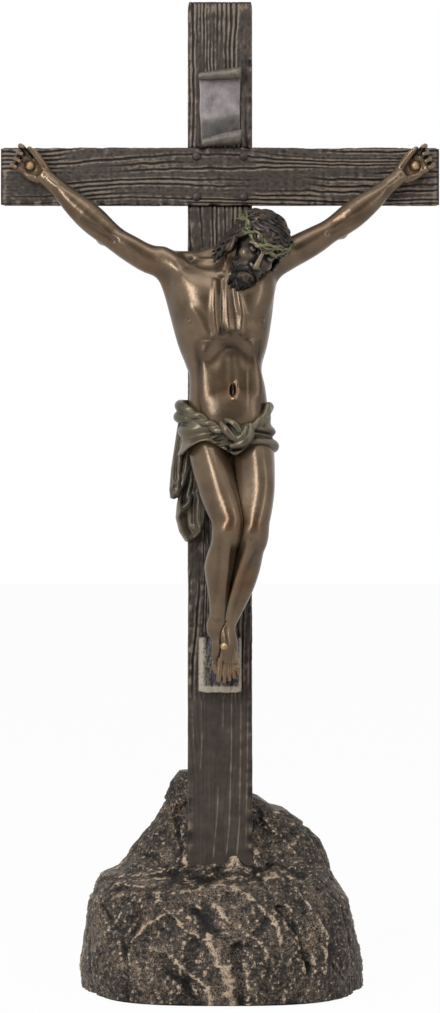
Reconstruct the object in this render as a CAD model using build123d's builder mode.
"""A standing crucifix: a hewn cross on a rock base, carrying a piece-cast figure.

Millimetres, +Z up, the front towards -Y. The origin is on the table, under the post's axis.
Left and right are the figure's own, so its right arm is at -X.
"""

from build123d import *
import math
import os

os.makedirs("parts", exist_ok=True)

# Cross
post_width = 22.3
post_depth = 13.0
post_top = 337.0
crossbeam_length = 149.0
crossbeam_height = 20.4
crossbeam_centre_height = 277.3
crossbeam_proud = 1.2
beam_wear = 0.9
lap_depth = 6.5
joint_clearance = 0.1
cut_overrun = 5.0

# Pegs, nails, dowels and the screw
pin_clearance = 0.05
peg_spacing_x = 16.0
peg_spacing_z = 13.8
peg_shank_radius = 0.8
peg_shank_length = 9.0
peg_head_radius = 1.5
peg_head_height = 0.9
nail_shank_radius = 0.7
nail_bite = 5.0
nail_head_radius = 1.5
nail_head_height = 1.1
dowel_radius = 1.0
dowel_length = 10.0
back_peg_radius = 1.5
back_peg_length = 10.0
screw_radius = 2.0
screw_bite = 20.0
screw_head_radius = 4.0
screw_head_height = 2.4
washer_radius = 5.5
washer_thickness = 1.0

# Rock base and its felt
felt_thickness = 1.2
felt_inset = 6.5
rock_width = 102.0
rock_depth = 73.0
rock_peak = 73.5
rock_squareness = 2.7
rock_sides = 60
rock_layers = 30
rock_inset = 2.8
rock_inset_limits = (0.2, 6.0)
rock_top_inset = 0.6
rock_top_share = 0.9
stone_count = 60
stone_scatter = (0.8191725, 0.6710436, 0.5497005)
stone_height_weight = 0.72
stone_bend = 2.6
stone_bend_lengths = (7.0, 10.0)
stone_swell = 0.45
stone_swell_lengths = (5.0, 6.5)
stone_swell_phase = 2.0
crease_width = 3.6
crease_depth = 1.7
crease_depth_front = 0.765
rock_front_fade = (-0.1, 0.4)
ridge_width = 1.9
ridge_height = 1.7
socket_floor = 18.0
socket_clearance = 0.15

# Title scroll
scroll_width = 14.6
scroll_thickness = 1.0
scroll_curl_radius = 1.5
scroll_length = 20.5
scroll_centre_height = 301.3
scroll_slant = 14.0
scroll_top_curl = 235.0
scroll_bottom_curl = 200.0

# Footrest
footrest_width = 14.6
footrest_height = 18.6
footrest_top_depth = 3.2
footrest_bottom_depth = 7.2
footrest_lip = 2.6
footrest_wear = 0.7
footrest_foot_overlap = 2.4

# Figure: trunk and limbs
groin_height = 188.0
torso_height = 61.0
chest_width = 34.6
chest_depth = 18.0
arm_thickness = 9.4
palm_length = 10.5
palm_width = 8.4
palm_thickness = 4.2
finger_thickness = 1.9
finger_length = 5.6
hand_inset_right = 10.2
hand_inset_left = 8.4
hand_rise = 3.2
hand_embed = 0.2
nail_inset = 0.3
thigh_length = 33.5
shin_length = 36.0
thigh_thickness = 16.2
shin_thickness = 9.8
foot_length = 16.5
foot_width = 7.4
foot_thickness = 5.4
toe_thickness = 2.1

# Figure: head, hair and crown
head_height = 26.0
head_width = 18.6
head_depth = 22.0
head_reach_x = 12.2
head_reach_y = 13.6
head_rise = 65.2
head_nod = 18.0
head_tilt = 28.0
head_turn = 3.0
neck_thickness = 9.6
hair_lock_thickness = 4.6
nose_length = 6.2
nose_width = 3.0
crown_vine_thickness = 1.2
crown_twist_gap = 0.45
crown_turns = 7
crown_stations = 56
crown_vine_sides = 6
crown_tilt = 9.0
thorn_length = 2.4
thorn_radius = 0.42
thorns_per_vine = 9

# Loincloth
cloth_thickness = 1.5
cloth_height = 17.5
cloth_below_groin = 3.4
belt_thickness = 3.4
knot_width = 8.4
knot_height = 8.6
knot_thickness = 5.0
fall_width = 9.0
fall_thickness = 5.0
fall_length = 46.0
fall_pleats = 3

post_front = -post_depth / 2
post_back = post_depth / 2
beam_front = post_front - crossbeam_proud
crossbeam_bottom = crossbeam_centre_height - crossbeam_height / 2


def shared_point(origin, shares, sizes):
    """A point at hand-chosen shares of three sizes from an origin."""
    return Vector(*(o + share * size for o, share, size in zip(origin, shares, sizes)))


def square_planes(points, first_direction=None):
    """Planes square to a path of points, each with its x axis towards the back of the figure."""
    planes = []
    for index, point in enumerate(points):
        before = points[max(index - 1, 0)]
        after = points[min(index + 1, len(points) - 1)]
        direction = (after - before).normalized()
        if index == 0 and first_direction is not None:
            direction = first_direction
        back = Vector(0, 1, 0)
        planes.append(Plane(point, x_dir=back - direction * back.dot(direction), z_dir=direction))
    return planes


def smoothed(rows):
    """Rows of numbers with one more between each two, on a Catmull-Rom curve through them."""
    result = []
    for index in range(len(rows) - 1):
        before = rows[max(index - 1, 0)]
        after = rows[min(index + 2, len(rows) - 1)]
        near = zip(before, rows[index], rows[index + 1], after)
        result.append(tuple(rows[index]))
        result.append(tuple((9 * (b + c) - a - d) / 16 for a, b, c, d in near))
    result.append(tuple(rows[-1]))
    return result


def facing_plane(point):
    """A plane square to Y at a point, looking to the front, for pins and their holes."""
    return Plane(point, x_dir=(1, 0, 0), z_dir=(0, -1, 0))


# Places on the figure, from the trunk's sizes
trunk_sizes = (chest_width, chest_depth, torso_height)
trunk_origin = (0, post_front, groin_height)
right_shoulder_shares = (-0.470, -0.325, 0.948)
left_shoulder_shares = (0.552, -0.325, 0.978)
neck_root_shares = (0.055, -0.345, 0.935)
right_shoulder = shared_point(trunk_origin, right_shoulder_shares, trunk_sizes)
left_shoulder = shared_point(trunk_origin, left_shoulder_shares, trunk_sizes)
neck_root = shared_point(trunk_origin, neck_root_shares, trunk_sizes)
head_centre = Vector(head_reach_x, post_front - head_reach_y, groin_height + head_rise)
head_plane = Plane(head_centre).rotated((head_nod, head_tilt, head_turn))

hand_height = crossbeam_centre_height + hand_rise
palm_y = beam_front - palm_thickness / 2 + hand_embed
right_nail = Vector(-crossbeam_length / 2 + hand_inset_right, palm_y, hand_height)
left_nail = Vector(crossbeam_length / 2 - hand_inset_left, palm_y, hand_height)
hand_nail_seat = palm_y - palm_thickness / 2 + nail_inset

hip_seat_shares = {"right": (-0.115, -0.445, 0), "left": (0.352, -0.445, 0)}
thigh_shares = {"right": (0.206, -0.395, -0.890), "left": (0.012, -0.345, -0.925)}
shin_shares = {"right": (-0.105, 0.362, -0.926), "left": (-0.255, 0.225, -0.905)}


# Rock base: strata that narrow to a ridge behind the post, with a socket for the post's foot
# Each row: height, left reach, right reach, front reach, back reach
rock_strata_shares = (
    (0.016, 0.473, 0.492, 0.474, 0.488),
    (0.095, 0.484, 0.494, 0.488, 0.499),
    (0.191, 0.478, 0.486, 0.482, 0.496),
    (0.300, 0.467, 0.463, 0.458, 0.482),
    (0.409, 0.453, 0.445, 0.414, 0.460),
    (0.477, 0.439, 0.412, 0.362, 0.438),
    (0.523, 0.418, 0.392, 0.293, 0.425),
    (0.548, 0.367, 0.386, 0.225, 0.416),
    (0.586, 0.339, 0.378, 0.137, 0.405),
    (0.668, 0.294, 0.347, 0.071, 0.381),
    (0.770, 0.239, 0.265, 0.036, 0.348),
    (0.817, 0.224, 0.220, 0.022, 0.329),
    (0.879, 0.204, 0.151, 0.008, 0.301),
    (0.946, 0.180, 0.108, -0.019, 0.266),
    (1.000, 0.145, 0.059, -0.060, 0.214),
)
# Ridges and grooves across the front: points as shares of the rock's width and peak,
# then shares of the ridge width and height, below 0 for grooves
rock_line_shares = (
    (
        (
            (-0.294, 0.299), (-0.248, 0.367), (-0.165, 0.422), (-0.126, 0.367),
            (-0.043, 0.297), (-0.004, 0.218), (0.027, 0.122), (0.039, 0.014),
        ),
        1.00,
        1.00,
    ),
    (
        (
            (-0.152, 0.493), (-0.043, 0.510), (0.022, 0.528), (0.066, 0.510),
            (0.181, 0.395), (0.201, 0.299),
        ),
        1.00,
        1.00,
    ),
    (
        (
            (-0.036, 0.465), (0.047, 0.359), (0.124, 0.305), (0.157, 0.245),
        ),
        0.74,
        0.76,
    ),
    (
        (
            (0.156, 0.544), (0.239, 0.544), (0.284, 0.476), (0.343, 0.367),
            (0.368, 0.297), (0.348, 0.150),
        ),
        1.00,
        1.00,
    ),
    (
        (
            (-0.228, 0.261), (-0.176, 0.245), (-0.126, 0.181), (-0.043, 0.101),
            (-0.029, 0.020),
        ),
        0.84,
        0.82,
    ),
    (
        (
            (-0.422, 0.231), (-0.370, 0.340), (-0.343, 0.385),
        ),
        0.89,
        0.82,
    ),
    (
        (
            (-0.427, 0.430), (-0.351, 0.528), (-0.299, 0.581),
        ),
        0.89,
        0.76,
    ),
    (
        (
            (-0.275, 0.661), (-0.203, 0.748), (-0.152, 0.884),
        ),
        0.79,
        0.71,
    ),
    (
        (
            (0.130, 0.898), (0.239, 0.789), (0.324, 0.680),
        ),
        0.89,
        0.71,
    ),
    (
        (
            (0.157, 0.789), (0.225, 0.688), (0.284, 0.599),
        ),
        0.79,
        0.71,
    ),
    (
        (
            (0.202, 0.430), (0.277, 0.305), (0.303, 0.163),
        ),
        0.79,
        -1.12,
    ),
    (
        (
            (0.055, 0.272), (0.065, 0.128), (0.071, 0.003),
        ),
        1.16,
        -1.18,
    ),
    (
        (
            (-0.137, 0.457), (-0.059, 0.408), (0.000, 0.299),
        ),
        0.84,
        -0.88,
    ),
    (
        (
            (-0.333, 0.463), (-0.275, 0.408), (-0.324, 0.245),
        ),
        0.95,
        -0.88,
    ),
    (
        (
            (-0.196, 0.163), (-0.118, 0.109), (-0.078, 0.014),
        ),
        0.95,
        -0.82,
    ),
    (
        (
            (-0.314, 0.626), (-0.235, 0.612), (-0.157, 0.544),
        ),
        0.95,
        -0.76,
    ),
    (
        (
            (0.118, 0.571), (0.196, 0.592), (0.294, 0.544),
        ),
        0.84,
        -0.71,
    ),
)
rock_stones = [
    (
        rock_width * (stone * stone_scatter[0] % 1 - 0.5),
        rock_depth * (stone * stone_scatter[1] % 1 - 0.5),
        rock_peak * (stone * stone_scatter[2] % 1),
    )
    for stone in range(1, stone_count + 1)
]


def eased(low, high, value):
    """A soft step from 0 at low to 1 at high."""
    share = min(max((value - low) / (high - low), 0), 1)
    return share * share * (3 - 2 * share)


def line_gap(x, z, line):
    """The distance in the front view from a point to a line of points given in shares."""
    gaps = []
    for (start_x, start_z), (end_x, end_z) in zip(line, line[1:]):
        start = (rock_width * start_x, rock_peak * start_z)
        run = (rock_width * end_x - start[0], rock_peak * end_z - start[1])
        share = ((x - start[0]) * run[0] + (z - start[1]) * run[1]) / (run[0] ** 2 + run[1] ** 2)
        share = min(max(share, 0), 1)
        gaps.append(math.hypot(x - start[0] - share * run[0], z - start[1] - share * run[1]))
    return min(gaps)


def rock_set_back(x, y, z, angle):
    """How far the rock stands in from its hull: stones with creases between them, then the front's lines."""
    short, long = stone_bend_lengths
    bent = (
        x + stone_bend * math.sin(z / short + x / long),
        y + stone_bend * math.sin(x / short + y / short),
        z + stone_bend * math.sin(y / short + x / long),
    )
    gaps = sorted(
        math.hypot(bent[0] - stone[0], bent[1] - stone[1], stone_height_weight * (bent[2] - stone[2]))
        for stone in rock_stones
    )
    front = eased(*rock_front_fade, -math.sin(angle))
    depth = crease_depth + (crease_depth_front - crease_depth) * front
    lift = depth * eased(0, crease_width, gaps[1] - gaps[0])
    across, upward = stone_swell_lengths
    lift += stone_swell * math.sin(x / across + z / upward)
    lift += stone_swell * math.sin(y / across - z / upward + stone_swell_phase)
    for line, width_share, height_share in rock_line_shares:
        away = line_gap(x, z, line) / (ridge_width * width_share)
        lift += front * ridge_height * height_share * math.exp(-(away**2))
    grip = eased(1, rock_top_share, z / rock_peak)
    set_back = min(max(rock_inset - lift, rock_inset_limits[0]), rock_inset_limits[1])
    return rock_top_inset + (set_back - rock_top_inset) * grip


def reaches_at(height_share):
    """Left, right, front and back reach of the rock's hull at a share of its height."""
    for low, high in zip(rock_strata_shares, rock_strata_shares[1:]):
        if height_share <= high[0]:
            break
    share = (height_share - low[0]) / (high[0] - low[0])
    return [a + (b - a) * share for a, b in zip(low[1:], high[1:])]


def layer_points(height, inset=None):
    """The corners of one layer of rock: a squared oval, set in by the rock's relief or by a fixed amount."""
    left, right, front, back = reaches_at(height / rock_peak)
    corners = []
    for side in range(rock_sides):
        angle = 2 * math.pi * side / rock_sides
        power = 2 / rock_squareness
        round_x = math.copysign(abs(math.cos(angle)) ** power, math.cos(angle))
        round_y = math.copysign(abs(math.sin(angle)) ** power, math.sin(angle))
        x = rock_width * ((right - left) + (right + left) * round_x) / 2
        y = rock_depth * ((back - front) + (back + front) * round_y) / 2
        inward = rock_set_back(x, y, height, angle) if inset is None else inset
        outward = Vector(math.cos(angle) / rock_width, math.sin(angle) / rock_depth).normalized()
        corners.append((x - inward * outward.X, y - inward * outward.Y))
    return corners


with BuildPart() as rock_base:
    for layer in range(rock_layers + 1):
        layer_height = felt_thickness + (rock_peak - felt_thickness) * layer / rock_layers
        with BuildSketch(Plane.XY.offset(layer_height)):
            with BuildLine():
                Polyline(*layer_points(layer_height), close=True)
            make_face()
    loft(ruled=True)
    with BuildSketch(Plane.XY.offset(socket_floor)):
        Rectangle(post_width + 2 * socket_clearance, post_depth + 2 * socket_clearance)
    extrude(amount=rock_peak, mode=Mode.SUBTRACT)
    with Locations(Plane((0, 0, felt_thickness), x_dir=(1, 0, 0), z_dir=(0, 0, -1))):
        CounterBoreHole(
            radius=screw_radius + pin_clearance,
            counter_bore_radius=washer_radius + joint_clearance,
            counter_bore_depth=screw_head_height + washer_thickness,
        )
rock_base.part.label = "rock_base"

with BuildPart() as felt_pad:
    with BuildSketch():
        with BuildLine():
            Polyline(*layer_points(felt_thickness, felt_inset), close=True)
        make_face()
    extrude(amount=felt_thickness)
felt_pad.part.label = "felt_pad"

with BuildPart() as anchor_screw:
    with BuildSketch(Plane.XZ):
        with BuildLine():
            Polyline(
                (0, felt_thickness),
                (screw_head_radius, felt_thickness),
                (screw_head_radius, felt_thickness + screw_head_height),
                (screw_radius, felt_thickness + screw_head_height),
                (screw_radius, socket_floor + screw_bite - screw_radius),
                (0, socket_floor + screw_bite),
                close=True,
            )
        make_face()
    revolve(axis=Axis.Z)
anchor_screw.part.label = "anchor_screw"

with BuildPart() as anchor_washer:
    with BuildSketch(Plane.XY.offset(felt_thickness + screw_head_height)):
        Circle(washer_radius)
        Circle(screw_radius + pin_clearance, mode=Mode.SUBTRACT)
    extrude(amount=washer_thickness)
anchor_washer.part.label = "anchor_washer"


# Cross: the post and the crossbeam are halved into each other
peg_points = [
    Vector(side_x * peg_spacing_x / 2, beam_front, crossbeam_centre_height + side_z * peg_spacing_z / 2)
    for side_x in (-1, 1)
    for side_z in (-1, 1)
]
back_peg_height_share = 0.62
back_peg_point = Vector(0, post_front, groin_height + torso_height * back_peg_height_share)

right_hip = shared_point(trunk_origin, hip_seat_shares["right"], trunk_sizes)
left_hip = shared_point(trunk_origin, hip_seat_shares["left"], trunk_sizes)
right_knee = shared_point(right_hip, thigh_shares["right"], (thigh_length,) * 3)
left_knee = shared_point(left_hip, thigh_shares["left"], (thigh_length,) * 3)
right_ankle = shared_point(right_knee, shin_shares["right"], (shin_length,) * 3)
left_ankle = shared_point(left_knee, shin_shares["left"], (shin_length,) * 3)
foot_nail_shares = (-0.24, 0, -0.36)
foot_nail_point = shared_point(left_ankle, foot_nail_shares, (foot_width, 0, foot_length))
footrest_top = foot_nail_point.Z + footrest_foot_overlap

with BuildPart() as upright_post:
    with BuildSketch(Plane.XY.offset(socket_floor)):
        Rectangle(post_width, post_depth)
    extrude(amount=post_top - socket_floor)
    chamfer(upright_post.edges().filter_by(Axis.Z), beam_wear)
    chamfer(upright_post.faces().sort_by(Axis.Z)[-1].edges(), beam_wear)
    with BuildSketch(Plane.XY.offset(crossbeam_bottom - joint_clearance)):
        with Locations((0, post_front + lap_depth / 2 - cut_overrun / 2)):
            Rectangle(post_width + 2 * cut_overrun, lap_depth + cut_overrun)
    extrude(amount=crossbeam_height + 2 * joint_clearance, mode=Mode.SUBTRACT)
    with Locations(Plane((0, 0, socket_floor), x_dir=(1, 0, 0), z_dir=(0, 0, -1))):
        Hole(radius=screw_radius + pin_clearance, depth=screw_bite + pin_clearance)
    with Locations(*[facing_plane(Vector(p.X, post_front + lap_depth, p.Z)) for p in peg_points]):
        Hole(
            radius=peg_shank_radius + pin_clearance,
            depth=peg_shank_length - crossbeam_proud - lap_depth + pin_clearance,
        )
    with Locations(facing_plane(Vector(foot_nail_point.X, post_front, foot_nail_point.Z))):
        Hole(radius=nail_shank_radius + pin_clearance, depth=nail_bite + pin_clearance)
    with Locations(facing_plane(back_peg_point)):
        Hole(radius=back_peg_radius + pin_clearance, depth=back_peg_length / 2 + pin_clearance)
upright_post.part.label = "upright_post"

with BuildPart() as crossbeam:
    with BuildSketch(Plane.YZ.offset(-crossbeam_length / 2)):
        with Locations(((beam_front + post_back) / 2, crossbeam_centre_height)):
            Rectangle(post_back - beam_front, crossbeam_height)
    extrude(amount=crossbeam_length)
    chamfer(crossbeam.edges().filter_by(Axis.X), beam_wear)
    chamfer(crossbeam.faces().filter_by(Axis.X).edges(), beam_wear)
    with BuildSketch(Plane.XY.offset(crossbeam_bottom - cut_overrun)):
        with Locations((0, post_front + lap_depth + post_depth / 2)):
            Rectangle(post_width + 2 * joint_clearance, post_depth)
    extrude(amount=crossbeam_height + 2 * cut_overrun, mode=Mode.SUBTRACT)
    with Locations(*[facing_plane(p) for p in peg_points]):
        Hole(radius=peg_shank_radius + pin_clearance, depth=post_depth)
    with Locations(*[facing_plane(Vector(p.X, beam_front, p.Z)) for p in (right_nail, left_nail)]):
        Hole(radius=nail_shank_radius + pin_clearance, depth=nail_bite + pin_clearance)
crossbeam.part.label = "crossbeam"


def build_pins(label, seats, shank_radius, shank_ends, head_radius, head_height):
    """Round-headed pins along Y, each from its seat back to the depth given for it."""
    dome_radius = (head_radius**2 + head_height**2) / (2 * head_height)
    half_dome = math.asin(head_radius / dome_radius) / 2
    with BuildPart() as pins:
        for seat, shank_end in zip(seats, shank_ends):
            with BuildSketch(Plane((seat.X, 0, seat.Z))):
                with BuildLine():
                    Polyline(
                        (0, seat.Y - head_height),
                        (0, shank_end),
                        (shank_radius, shank_end - shank_radius),
                        (shank_radius, seat.Y),
                        (head_radius, seat.Y),
                    )
                    dome_middle_y = seat.Y - head_height + dome_radius * (1 - math.cos(half_dome))
                    ThreePointArc(
                        (head_radius, seat.Y),
                        (dome_radius * math.sin(half_dome), dome_middle_y),
                        (0, seat.Y - head_height),
                    )
                make_face()
            revolve(axis=Axis((seat.X, 0, seat.Z), (0, 1, 0)))
    pins.part.label = label
    return pins.part


peg_end = beam_front + peg_shank_length
lap_pegs = build_pins(
    "lap_pegs", peg_points, peg_shank_radius, [peg_end] * len(peg_points), peg_head_radius, peg_head_height
)


# Title scroll: a sheet curled forward at both ends, glued to the post above the crossbeam
with BuildPart() as title_scroll:
    scroll_y = post_front - scroll_thickness / 2
    curl_y = scroll_y - scroll_curl_radius
    scroll_top = scroll_centre_height + scroll_length / 2
    scroll_bottom = scroll_centre_height - scroll_length / 2
    with BuildSketch(Plane.YZ):
        with BuildLine():
            CenterArc((curl_y, scroll_top), scroll_curl_radius, 0, scroll_top_curl)
            Line((scroll_y, scroll_top), (scroll_y, scroll_bottom))
            CenterArc((curl_y, scroll_bottom), scroll_curl_radius, 0, -scroll_bottom_curl)
        trace(line_width=scroll_thickness)
    slant = Vector(1, 0, math.tan(math.radians(scroll_slant)))
    extrude(amount=scroll_width / 2 * slant.length, dir=slant, both=True)
title_scroll.part.label = "title_scroll"


# Footrest: a wedge nailed to the post under the feet
with BuildPart() as footrest:
    footrest_bottom = footrest_top - footrest_height
    with BuildSketch(Plane.YZ):
        with BuildLine():
            Polyline(
                (post_front, footrest_bottom),
                (post_front - footrest_bottom_depth, footrest_bottom),
                (post_front - footrest_bottom_depth, footrest_bottom + footrest_lip),
                (post_front - footrest_top_depth, footrest_top),
                (post_front, footrest_top),
                close=True,
            )
        make_face()
    extrude(amount=footrest_width / 2, both=True)
    outer_edges = footrest.faces().filter_by(Axis.X).edges() - footrest.faces().sort_by(Axis.Y)[-1].edges()
    chamfer(outer_edges, footrest_wear)
    footrest_bore = Vector(foot_nail_point.X, post_front - footrest_bottom_depth, foot_nail_point.Z)
    with Locations(facing_plane(footrest_bore)):
        Hole(radius=nail_shank_radius + pin_clearance, depth=footrest_bottom_depth + cut_overrun)
footrest.part.label = "footrest"


# Trunk: chest, waist and hips, with shoulder seats and a neck that plugs into the head
# Each row: height, centre across, centre deep, half width, half depth
trunk_section_shares = (
    (0.000, 0.120, -0.445, 0.450, 0.455),
    (0.148, 0.100, -0.450, 0.422, 0.460),
    (0.279, 0.075, -0.455, 0.373, 0.405),
    (0.400, 0.045, -0.467, 0.355, 0.390),
    (0.525, 0.038, -0.489, 0.408, 0.455),
    (0.656, 0.022, -0.494, 0.455, 0.500),
    (0.787, 0.020, -0.467, 0.485, 0.489),
    (0.902, 0.036, -0.400, 0.455, 0.390),
    (0.992, 0.050, -0.344, 0.290, 0.256),
)
# Each row: along the arm, droop, forward, half height, half depth
arm_section_shares = (
    (0.00, 0.00, 0.00, 0.520, 0.540),
    (0.14, 0.03, 0.02, 0.535, 0.520),
    (0.30, 0.12, 0.04, 0.465, 0.470),
    (0.47, 0.20, 0.06, 0.430, 0.410),
    (0.62, 0.13, 0.16, 0.490, 0.430),
    (0.80, 0.05, 0.14, 0.380, 0.350),
    (1.00, 0.00, 0.04, 0.290, 0.250),
)
neck_bend_share = 0.55
neck_plug_share = 0.10
palm_nail_share = 0.68
wrist_lift_share = 0.06
shoulder_depth_share = 1.5
shoulder_swell_share = 1.55


def arm_points(shoulder, nail):
    """The middle of each arm section, from the shoulder's seat to the wrist, and the wrist itself."""
    wrist_aim = (nail - shoulder).normalized()
    wrist = nail - wrist_aim * (palm_length * palm_nail_share) - Vector(0, arm_thickness * wrist_lift_share, 0)
    reach = wrist - shoulder
    down = Vector(0, 1, 0).cross(reach).normalized()
    if down.Z > 0:
        down = -down
    return [
        shoulder + reach * along + down * (arm_thickness * droop) - Vector(0, arm_thickness * forward, 0)
        for along, droop, forward, _, _ in smoothed(arm_section_shares)
    ]


right_arm_path = arm_points(right_shoulder, right_nail)
left_arm_path = arm_points(left_shoulder, left_nail)
seat_sizes = (arm_thickness * arm_section_shares[0][4], arm_thickness * arm_section_shares[0][3])

with BuildPart() as torso:
    for height, across, deep, half_width, half_depth in smoothed(trunk_section_shares):
        centre = shared_point(trunk_origin, (across, deep, height), trunk_sizes)
        with BuildSketch(Plane(centre)):
            Ellipse(chest_width * half_width, chest_depth * half_depth)
    loft(ruled=True)
    for arm_path in (right_arm_path, left_arm_path):
        seat_plane = square_planes(arm_path)[0]
        for sunk_share, swell_share in ((shoulder_depth_share, shoulder_swell_share), (0, 1)):
            with BuildSketch(seat_plane.offset(-arm_thickness * sunk_share)):
                Ellipse(*(size * swell_share for size in seat_sizes))
        loft(ruled=True)
    neck_top = head_centre - head_plane.z_dir * (head_height * neck_plug_share)
    neck_middle = neck_root + (neck_top - neck_root) * neck_bend_share
    for neck_plane in square_planes([neck_root, neck_middle, neck_top]):
        with BuildSketch(neck_plane):
            Circle(neck_thickness / 2)
    loft(ruled=True)
    split(bisect_by=Plane.XZ.offset(-post_front), keep=Keep.TOP)
    for arm_path in (right_arm_path, left_arm_path):
        with Locations(square_planes(arm_path)[0]):
            Hole(radius=dowel_radius + pin_clearance, depth=dowel_length / 2 + pin_clearance)
    for hip in (right_hip, left_hip):
        with Locations(Plane(hip, x_dir=(1, 0, 0), z_dir=(0, 0, -1))):
            Hole(radius=dowel_radius + pin_clearance, depth=dowel_length / 2 + pin_clearance)
    with Locations(Plane(back_peg_point, x_dir=(1, 0, 0), z_dir=(0, 1, 0))):
        Hole(radius=back_peg_radius + pin_clearance, depth=back_peg_length / 2 + pin_clearance)
torso.part.label = "torso"


# Arms: each ends in a cupped hand nailed to the crossbeam
# Each row: along the palm, half width, half thickness
palm_section_shares = (
    (0.00, 0.330, 0.560),
    (0.30, 0.420, 0.520),
    (0.65, 0.500, 0.500),
    (1.00, 0.440, 0.400),
)
# Each row: across the knuckles, then reach and forward lift of the middle joint and of the tip
finger_shares = (
    (-0.72, 0.60, 0.42, 0.78, 0.92),
    (-0.24, 0.74, 0.42, 0.94, 0.96),
    (0.24, 0.78, 0.40, 1.00, 0.94),
    (0.72, 0.68, 0.36, 0.92, 0.86),
)
# Each row: along the palm, across it, forward lift
thumb_shares = ((0.10, 0.80, 0.30), (0.55, 1.12, 0.55), (1.00, 1.05, 0.95))
finger_taper_shares = (0.50, 0.48, 0.36)
thumb_taper_shares = (0.62, 0.56, 0.40)


def build_arm(label, path, nail, thumb_side):
    """An arm lofted from its shoulder seat to the wrist, with a palm, four fingers and a thumb."""
    planes = square_planes(path)
    wrist = path[-1]
    aim = Vector(nail.X - wrist.X, 0, nail.Z - wrist.Z).normalized()
    across = Vector(0, 1, 0).cross(aim) * thumb_side
    palm_start = Vector(wrist.X, nail.Y, wrist.Z)
    knuckles = palm_start + aim * palm_length
    with BuildPart() as arm:
        for plane, (_, _, _, half_high, half_deep) in zip(planes, smoothed(arm_section_shares)):
            with BuildSketch(plane):
                Ellipse(arm_thickness * half_deep, arm_thickness * half_high)
        loft(ruled=True)
        for along, half_wide, half_thick in palm_section_shares:
            with BuildSketch(Plane(palm_start + aim * (palm_length * along), x_dir=(0, 1, 0), z_dir=aim)):
                Ellipse(palm_thickness * half_thick, palm_width * half_wide)
        loft(ruled=True)
        for side, middle_reach, middle_lift, tip_reach, tip_lift in finger_shares:
            root = knuckles + across * (side * palm_width / 2) - aim * finger_thickness
            middle = root + aim * (finger_length * middle_reach) - Vector(0, finger_length * middle_lift, 0)
            tip = root + aim * (finger_length * tip_reach) - Vector(0, finger_length * tip_lift, 0)
            for plane, taper in zip(square_planes([root, middle, tip]), finger_taper_shares):
                with BuildSketch(plane):
                    Circle(finger_thickness * taper)
            loft(ruled=True)
        thumb = [
            palm_start + aim * (palm_length * along) + across * (palm_width / 2 * side)
            - Vector(0, palm_thickness * lift, 0)
            for along, side, lift in thumb_shares
        ]
        for plane, taper in zip(square_planes(thumb), thumb_taper_shares):
            with BuildSketch(plane):
                Circle(finger_thickness * taper)
        loft(ruled=True)
        split(bisect_by=Plane.XZ.offset(-beam_front), keep=Keep.TOP)
        with Locations(Plane(path[0], x_dir=planes[0].x_dir, z_dir=-planes[0].z_dir)):
            Hole(radius=dowel_radius + pin_clearance, depth=dowel_length / 2 + pin_clearance)
        with Locations(facing_plane(Vector(nail.X, hand_nail_seat - nail_head_height, nail.Z))):
            CounterBoreHole(
                radius=nail_shank_radius + pin_clearance,
                counter_bore_radius=nail_head_radius + pin_clearance,
                counter_bore_depth=nail_head_height,
                depth=2 * palm_thickness,
            )
    arm.part.label = label
    return arm.part


right_arm = build_arm("right_arm", right_arm_path, right_nail, 1)
left_arm = build_arm("left_arm", left_arm_path, left_nail, -1)


# Legs: bent at the knee, the left foot laid over the right
# Each row: along the thigh, half width, half depth
thigh_section_shares = (
    (0.00, 0.470, 0.455),
    (0.33, 0.455, 0.460),
    (0.68, 0.395, 0.415),
    (1.00, 0.300, 0.315),
)
# Each row: along the shin, outward, backward, half width, half depth
shin_section_shares = (
    (0.16, 0.02, 0.02, 0.470, 0.490),
    (0.37, 0.17, 0.10, 0.465, 0.500),
    (0.68, 0.06, 0.04, 0.360, 0.385),
    (1.00, 0.00, 0.00, 0.290, 0.310),
)
# Each row: along the foot, backward, half width, half thickness
foot_section_shares = (
    (-0.02, 0.06, 0.400, 0.560),
    (0.18, 0.20, 0.440, 0.580),
    (0.45, 0.22, 0.470, 0.440),
    (0.75, 0.16, 0.500, 0.340),
    (0.92, 0.14, 0.460, 0.260),
)
toe_side_shares = (-0.40, -0.20, 0.0, 0.19, 0.37)
toe_size_shares = (0.62, 0.52, 0.50, 0.47, 0.42)
foot_aim_shares = {"right": (-0.16, 0.02, -0.98), "left": (-0.06, 0.05, -0.99)}
foot_nail_seat_share = 0.24
foot_nail_seat = left_ankle.Y - foot_thickness * foot_nail_seat_share


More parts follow.
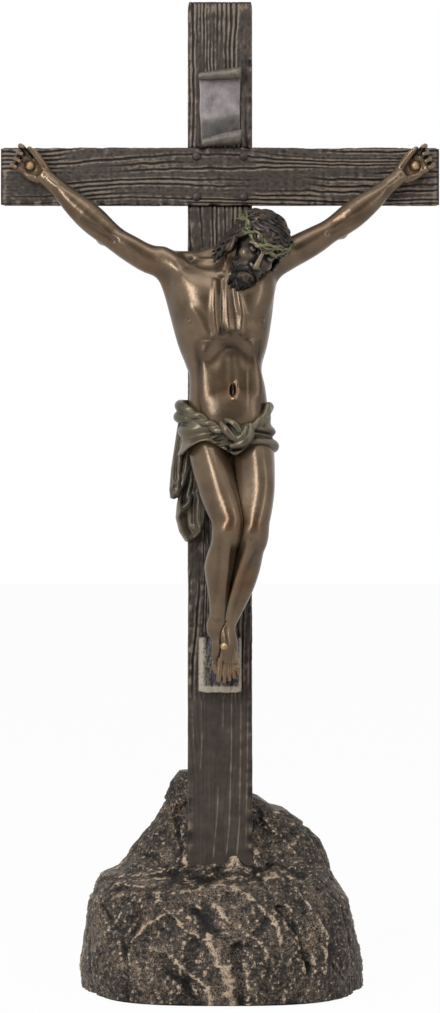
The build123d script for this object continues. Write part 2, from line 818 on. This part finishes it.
def build_leg(label, side, hip, knee, ankle, outward, toe_side, neighbours):
    """A leg lofted from its flat hip seat through the knee to the ankle, with its foot and toes."""
    thigh, shin = knee - hip, ankle - knee
    rows = [
        (*(hip + thigh * along), thigh_thickness * deep, thigh_thickness * wide)
        for along, wide, deep in thigh_section_shares
    ]
    for along, out, back, wide, deep in shin_section_shares:
        swell = Vector(outward * shin_thickness * out, shin_thickness * back, 0)
        rows.append((*(knee + shin * along + swell), shin_thickness * deep, shin_thickness * wide))
    rows = smoothed(rows)
    path = [Vector(*row[:3]) for row in rows]
    sizes = [row[3:] for row in rows]
    foot_aim = Vector(*foot_aim_shares[side]).normalized()
    foot_across = Vector(0, 1, 0).cross(foot_aim) * toe_side
    with BuildPart() as leg:
        for plane, size in zip(square_planes(path, first_direction=Vector(0, 0, -1)), sizes):
            with BuildSketch(plane):
                Ellipse(*size)
        loft(ruled=True)
        for along, back, half_wide, half_thick in foot_section_shares:
            centre = ankle + foot_aim * (foot_length * along) + Vector(0, foot_thickness * back, 0)
            with BuildSketch(Plane(centre, x_dir=(0, 1, 0), z_dir=foot_aim)):
                Ellipse(foot_thickness * half_thick, foot_width * half_wide)
        loft(ruled=True)
        last_along, last_back = foot_section_shares[-1][:2]
        toe_line = ankle + foot_aim * (foot_length * last_along) + Vector(0, foot_thickness * last_back, 0)
        for across, size in zip(toe_side_shares, toe_size_shares):
            with Locations(toe_line + foot_across * (foot_width * across)):
                Sphere(toe_thickness * size)
        with Locations(Plane(hip, x_dir=(1, 0, 0), z_dir=(0, 0, 1))):
            Hole(radius=dowel_radius + pin_clearance, depth=dowel_length / 2 + pin_clearance)
        add(footrest.part, mode=Mode.SUBTRACT)
        for neighbour in neighbours:
            add(neighbour, mode=Mode.SUBTRACT)
        nail_top = Vector(foot_nail_point.X, foot_nail_seat - nail_head_height, foot_nail_point.Z)
        with Locations(facing_plane(nail_top)):
            CounterBoreHole(
                radius=nail_shank_radius + pin_clearance,
                counter_bore_radius=nail_head_radius + pin_clearance,
                counter_bore_depth=nail_head_height,
                depth=post_depth + foot_length,
            )
    leg.part.label = label
    return leg.part


left_leg = build_leg("left_leg", "left", left_hip, left_knee, left_ankle, 1, -1, [])
right_leg = build_leg("right_leg", "right", right_hip, right_knee, right_ankle, -1, 1, [left_leg])


# Head: one casting with its hair and beard, socketed over the neck
# Each row: height, centre deep, half width, half depth
head_section_shares = (
    (-0.519, -0.318, 0.118, 0.100),
    (-0.404, -0.295, 0.247, 0.173),
    (-0.250, -0.190, 0.355, 0.300),
    (-0.077, -0.068, 0.452, 0.436),
    (0.115, 0.000, 0.505, 0.509),
    (0.288, 0.009, 0.473, 0.473),
    (0.423, 0.014, 0.323, 0.318),
    (0.492, 0.018, 0.108, 0.109),
)
# Each row: across, deep, height, thickness
right_lock_shares = (
    (-0.430, -0.120, 0.150, 0.44),
    (-0.520, -0.140, -0.080, 0.56),
    (-0.545, -0.110, -0.310, 0.48),
    (-0.500, -0.080, -0.500, 0.26),
)
left_lock_shares = (
    (0.430, -0.120, 0.150, 0.42),
    (0.500, -0.120, -0.060, 0.48),
    (0.480, -0.080, -0.230, 0.28),
)
nose_shares = (0, -0.490, -0.090)
nose_deep_share = 0.75
nose_bridge_share = 0.45
eye_shares = (0.185, -0.535, 0.055)
eye_hollow_share = 0.095


def head_point(across, deep, height):
    """A point given in shares of the head's own sizes, in its tilted plane."""
    return head_plane.from_local_coords(Vector(head_width * across, head_depth * deep, head_height * height))


with BuildPart() as head:
    for height, deep, half_width, half_depth in smoothed(head_section_shares):
        section_plane = Plane(head_point(0, deep, height), x_dir=head_plane.x_dir, z_dir=head_plane.z_dir)
        with BuildSketch(section_plane):
            Ellipse(head_width * half_width, head_depth * half_depth)
    loft(ruled=True)
    for lock_shares in (right_lock_shares, left_lock_shares):
        lock_path = [head_point(across, deep, height) for across, deep, height, _ in lock_shares]
        for plane, row in zip(square_planes(lock_path), lock_shares):
            with BuildSketch(plane):
                Circle(hair_lock_thickness * row[3])
        loft(ruled=True)
    for side in (-1, 1):
        with Locations(head_point(side * eye_shares[0], *eye_shares[1:])):
            Sphere(head_width * eye_hollow_share, mode=Mode.SUBTRACT)
    nose_plane = Plane(head_point(*nose_shares), x_dir=head_plane.x_dir, z_dir=head_plane.z_dir)
    for rise, size_share in ((-nose_length / 2, 1), (nose_length / 2, nose_bridge_share)):
        with BuildSketch(nose_plane.offset(rise)):
            Ellipse(nose_width / 2 * size_share, nose_width * nose_deep_share * size_share)
    loft(ruled=True)
    add(torso.part, mode=Mode.SUBTRACT)
    add(left_arm, mode=Mode.SUBTRACT)
head.part.label = "head"


# Crown: two vines twisted into one two-lobed rope, bent round the head, with thorns
crown_height_share = 0.195
crown_seat = Plane(head_point(0, 0, crown_height_share), x_dir=head_plane.x_dir, z_dir=head_plane.z_dir)
crown_plane = crown_seat.rotated((crown_tilt, 0, 0))
vine_core_share = 0.62
vine_lobe_share = 0.28
thorn_lean_share = 0.7
thorn_tip_share = 0.12
crown_lobe = crown_vine_thickness + crown_twist_gap
crown_half_x = head_width / 2 + crown_lobe / 2
crown_half_y = head_depth / 2 + crown_lobe / 2


def crown_frame(turn_share):
    """The point on the crown's ring at a share of a turn, with its outward and upward directions."""
    angle = 2 * math.pi * turn_share
    place = Vector(crown_half_x * math.cos(angle), crown_half_y * math.sin(angle), 0)
    outward = Vector(math.cos(angle) / crown_half_x, math.sin(angle) / crown_half_y, 0).normalized()
    to_world = crown_plane.from_local_coords
    centre = to_world(place)
    return centre, (to_world(place + outward) - centre).normalized(), crown_plane.z_dir


def rope_corners(turn_share):
    """The corners of the twisted rope's two-lobed section at a share of a turn, outward and upward."""
    twist = 2 * math.pi * crown_turns * turn_share / 2
    corners = []
    for side in range(2 * crown_vine_sides):
        angle = math.pi * side / crown_vine_sides
        reach = crown_vine_thickness * (vine_core_share + vine_lobe_share * math.cos(2 * angle))
        corners.append((reach * math.cos(angle + twist), reach * math.sin(angle + twist)))
    return corners


with BuildPart() as crown:
    for half in range(2):
        for step in range(crown_stations // 2 + 1):
            turn_share = (half * crown_stations / 2 + step) / crown_stations
            centre, outward, upward = crown_frame(turn_share)
            with BuildSketch(Plane(centre, x_dir=outward, z_dir=outward.cross(upward))):
                with BuildLine():
                    Polyline(*rope_corners(turn_share), close=True)
                make_face()
        loft(ruled=True)
    for vine in range(2):
        for thorn in range(thorns_per_vine):
            turn_share = (thorn + vine / 2) / thorns_per_vine
            centre, outward, upward = crown_frame(turn_share)
            lean = 1 if (thorn + vine) % 2 else -1
            aim = (outward + upward * (thorn_lean_share * lean)).normalized()
            with Locations(Plane(centre, z_dir=aim)):
                Cone(
                    thorn_radius,
                    thorn_radius * thorn_tip_share,
                    thorn_length,
                    align=(Align.CENTER, Align.CENTER, Align.MIN),
                )
    add(head.part, mode=Mode.SUBTRACT)
crown.part.label = "crown_of_thorns"


# Loincloth: a folded wrap round the hips, with a rolled belt knotted in front
# Each row: height, growth over the trunk
wrap_section_shares = ((0.00, 1.20), (0.22, 1.15), (0.60, 1.06), (1.00, 1.00))
wrap_corners = 44
wrap_folds = 11
wrap_fold_share = 0.34
wrap_slant_share = 0.5
belt_steps = 18
belt_start_turn = 186
belt_knot_turn = 278
belt_end_turn = 354
belt_low_share = 0.030
belt_right_share = 0.172
belt_left_share = 0.197
belt_proud_share = 0.24
belt_dip_power = 1.4
# Each row: height, swell
knot_section_shares = ((-0.50, 0.30), (-0.20, 0.92), (0.15, 1.00), (0.50, 0.34))


def trunk_section(height):
    """The trunk's centre and half sizes at a height over the groin, held at its lowest section below it."""
    rows = trunk_section_shares
    share = min(max(height / torso_height, 0), 1)
    for low, high in zip(rows, rows[1:]):
        if share <= high[0]:
            mix = (share - low[0]) / (high[0] - low[0])
            row = [a + (b - a) * mix for a, b in zip(low, high)]
            break
    return row[1] * chest_width, row[2] * chest_depth, row[3] * chest_width, row[4] * chest_depth


def belt_point(turn):
    """The belt's middle at an angle in degrees round the hips: it dips to the knot in front."""
    if turn < belt_knot_turn:
        end_share, end_turn = belt_right_share, belt_start_turn
    else:
        end_share, end_turn = belt_left_share, belt_end_turn
    away = abs(turn - belt_knot_turn) / abs(end_turn - belt_knot_turn)
    height = torso_height * (belt_low_share + (end_share - belt_low_share) * away**belt_dip_power)
    across, deep, half_width, half_depth = trunk_section(height)
    proud = cloth_thickness + belt_thickness * belt_proud_share
    x = across + (half_width + proud) * math.cos(math.radians(turn))
    y = post_front + deep + (half_depth + proud) * math.sin(math.radians(turn))
    return Vector(x, y, groin_height + height)


def belt_planes(points):
    """Planes square to the belt's path, each with its x axis upwards."""
    planes = []
    for index, point in enumerate(points):
        direction = (points[min(index + 1, len(points) - 1)] - points[max(index - 1, 0)]).normalized()
        up = Vector(0, 0, 1)
        planes.append(Plane(point, x_dir=up - direction * up.dot(direction), z_dir=direction))
    return planes


with BuildPart() as loincloth:
    for along, growth in wrap_section_shares:
        height = -cloth_below_groin + cloth_height * along
        across, deep, half_width, half_depth = trunk_section(height)
        corners = []
        for corner in range(wrap_corners):
            angle = 2 * math.pi * corner / wrap_corners
            fold = wrap_fold_share * math.cos(wrap_folds * (angle + wrap_slant_share * along))
            layer = cloth_thickness * growth * (1 + fold)
            x = across + (half_width + layer) * math.cos(angle)
            y = post_front + deep + (half_depth + layer) * math.sin(angle)
            corners.append((x, y))
        with BuildSketch(Plane.XY.offset(groin_height + height)):
            with BuildLine():
                Polyline(*corners, close=True)
            make_face()
    loft(ruled=True)
    belt_turn_step = (belt_end_turn - belt_start_turn) / belt_steps
    belt_path = [belt_point(belt_start_turn + belt_turn_step * step) for step in range(belt_steps + 1)]
    for plane in belt_planes(belt_path):
        with BuildSketch(plane):
            Circle(belt_thickness / 2)
    loft(ruled=True)
    knot = belt_point(belt_knot_turn)
    for rise, swell in knot_section_shares:
        with BuildSketch(Plane(knot + Vector(0, 0, knot_height * rise))):
            Ellipse(knot_width / 2 * swell, knot_thickness / 2 * swell)
    loft(ruled=True)
    split(bisect_by=Plane.XZ.offset(-post_front), keep=Keep.TOP)
    add(torso.part, mode=Mode.SUBTRACT)
    add(left_leg, mode=Mode.SUBTRACT)
    add(right_leg, mode=Mode.SUBTRACT)
    with Locations(Plane(right_hip), Plane(left_hip)):
        Cylinder(dowel_radius + 2 * pin_clearance, dowel_length + 4 * pin_clearance, mode=Mode.SUBTRACT)
loincloth.part.label = "loincloth"


# Cloth fall: the wrap's loose end, pleated, in two tails that hang behind the right thigh
# Each row: along the fall, across from the right hip, forward, half width, half thickness
outer_tail_shares = (
    (0.00, -0.60, 0.34, 0.30, 0.44),
    (0.20, -0.74, 0.46, 0.40, 0.50),
    (0.42, -0.82, 0.50, 0.40, 0.48),
    (0.66, -0.79, 0.44, 0.20, 0.34),
)
inner_tail_shares = (
    (0.00, -0.52, 0.26, 0.30, 0.42),
    (0.25, -0.60, 0.38, 0.42, 0.48),
    (0.50, -0.62, 0.40, 0.46, 0.48),
    (0.78, -0.50, 0.36, 0.38, 0.42),
    (1.00, -0.40, 0.30, 0.20, 0.30),
)
fall_top_share = 0.17
fall_ripple_share = 0.26
fall_corners = 18

with BuildPart() as cloth_fall:
    fall_top = groin_height + torso_height * fall_top_share
    for tail_shares in (outer_tail_shares, inner_tail_shares):
        for along, across, forward, half_wide, half_thick in tail_shares:
            centre_x = right_hip.X + thigh_thickness * across
            centre_y = post_front - fall_thickness * (half_thick + forward)
            corners = []
            for corner in range(fall_corners):
                angle = 2 * math.pi * corner / fall_corners
                pleat = 1 + fall_ripple_share * math.cos(2 * fall_pleats * angle)
                x = centre_x + fall_width * half_wide * math.cos(angle)
                y = centre_y + fall_thickness * half_thick * pleat * math.sin(angle)
                corners.append((x, y))
            with BuildSketch(Plane.XY.offset(fall_top - fall_length * along)):
                with BuildLine():
                    Polyline(*corners, close=True)
                make_face()
        loft(ruled=True)
    add(torso.part, mode=Mode.SUBTRACT)
    add(right_leg, mode=Mode.SUBTRACT)
    add(loincloth.part, mode=Mode.SUBTRACT)
cloth_fall.part.label = "cloth_fall"


# Nails, and the dowels and peg that hold the figure together
hand_seats = [Vector(p.X, hand_nail_seat, p.Z) for p in (right_nail, left_nail)]
hand_nails = build_pins(
    "hand_nails",
    hand_seats,
    nail_shank_radius,
    [beam_front + nail_bite] * len(hand_seats),
    nail_head_radius,
    nail_head_height,
)
foot_nail = build_pins(
    "foot_nail",
    [Vector(foot_nail_point.X, foot_nail_seat, foot_nail_point.Z)],
    nail_shank_radius,
    [post_front + nail_bite],
    nail_head_radius,
    nail_head_height,
)

with BuildPart() as figure_dowels:
    shoulder_planes = [square_planes(arm_path)[0] for arm_path in (right_arm_path, left_arm_path)]
    with Locations(*shoulder_planes, Plane(right_hip), Plane(left_hip)):
        Cylinder(dowel_radius, dowel_length)
figure_dowels.part.label = "figure_dowels"

with BuildPart() as back_peg:
    with Locations(facing_plane(back_peg_point)):
        Cylinder(back_peg_radius, back_peg_length)
back_peg.part.label = "back_peg"

export_step(rock_base.part, "parts/rock_base.step")
export_step(felt_pad.part, "parts/felt_pad.step")
export_step(anchor_screw.part, "parts/anchor_screw.step")
export_step(anchor_washer.part, "parts/anchor_washer.step")
export_step(upright_post.part, "parts/upright_post.step")
export_step(crossbeam.part, "parts/crossbeam.step")
export_step(lap_pegs, "parts/lap_pegs.step")
export_step(title_scroll.part, "parts/title_scroll.step")
export_step(footrest.part, "parts/footrest.step")
export_step(torso.part, "parts/torso.step")
export_step(head.part, "parts/head.step")
export_step(crown.part, "parts/crown_of_thorns.step")
export_step(right_arm, "parts/right_arm.step")
export_step(left_arm, "parts/left_arm.step")
export_step(right_leg, "parts/right_leg.step")
export_step(left_leg, "parts/left_leg.step")
export_step(loincloth.part, "parts/loincloth.step")
export_step(cloth_fall.part, "parts/cloth_fall.step")
export_step(hand_nails, "parts/hand_nails.step")
export_step(foot_nail, "parts/foot_nail.step")
export_step(figure_dowels.part, "parts/figure_dowels.step")
export_step(back_peg.part, "parts/back_peg.step")
